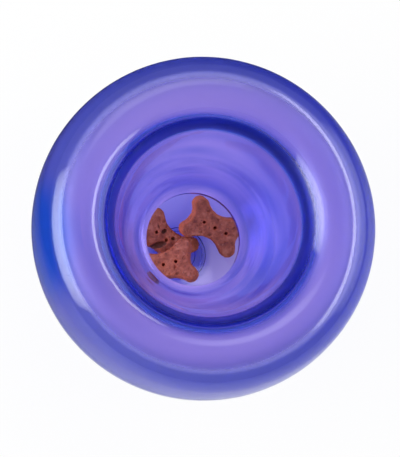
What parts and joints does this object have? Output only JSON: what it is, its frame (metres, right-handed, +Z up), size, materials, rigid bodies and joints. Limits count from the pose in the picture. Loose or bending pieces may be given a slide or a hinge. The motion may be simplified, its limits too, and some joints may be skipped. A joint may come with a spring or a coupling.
{
  "type": "treat dispensing dog toy",
  "caption": "Soft translucent treat ball for a dog: a broad rounded lip and deep crater lead through a round throat to a hollow chamber that holds loose bone-shaped biscuits.",
  "frame": {"origin": "centre of the flat foot that the ball stands on", "axes": "+Z up along the throat and crater axis; +X and +Y are any two level directions, +X to the right of the picture"},
  "size_m": [0.1016, 0.1016, 0.0686],
  "materials": {
    "shell_rubber": "glossy translucent",
    "biscuit": "matt baked crumb"
  },
  "bodies": {
    "ball": {"crater_shell": "shell_rubber", "base_shell": "shell_rubber"},
    "left_treat": {"treat_left": "biscuit"},
    "right_treat": {"treat_right": "biscuit"},
    "top_treat": {"treat_top": "biscuit"}
  },
  "joints": [
    {"name": "top_treat_out", "type": "slide", "parent": "ball", "child": "top_treat", "axis": [0.3362, 0.3068, 0.8904], "range_m": [0, 0.075]},
    {"name": "left_treat_roll", "type": "hinge", "parent": "ball", "child": "left_treat", "pos_m": [0, 0, 0.04981], "axis": [0.788, 0.6157, 0], "range_deg": [0, 30]},
    {"name": "right_treat_roll", "type": "hinge", "parent": "ball", "child": "right_treat", "pos_m": [0, 0, 0.04981], "axis": [0.6691, -0.7431, 0], "range_deg": [0, 30]}
  ]
}
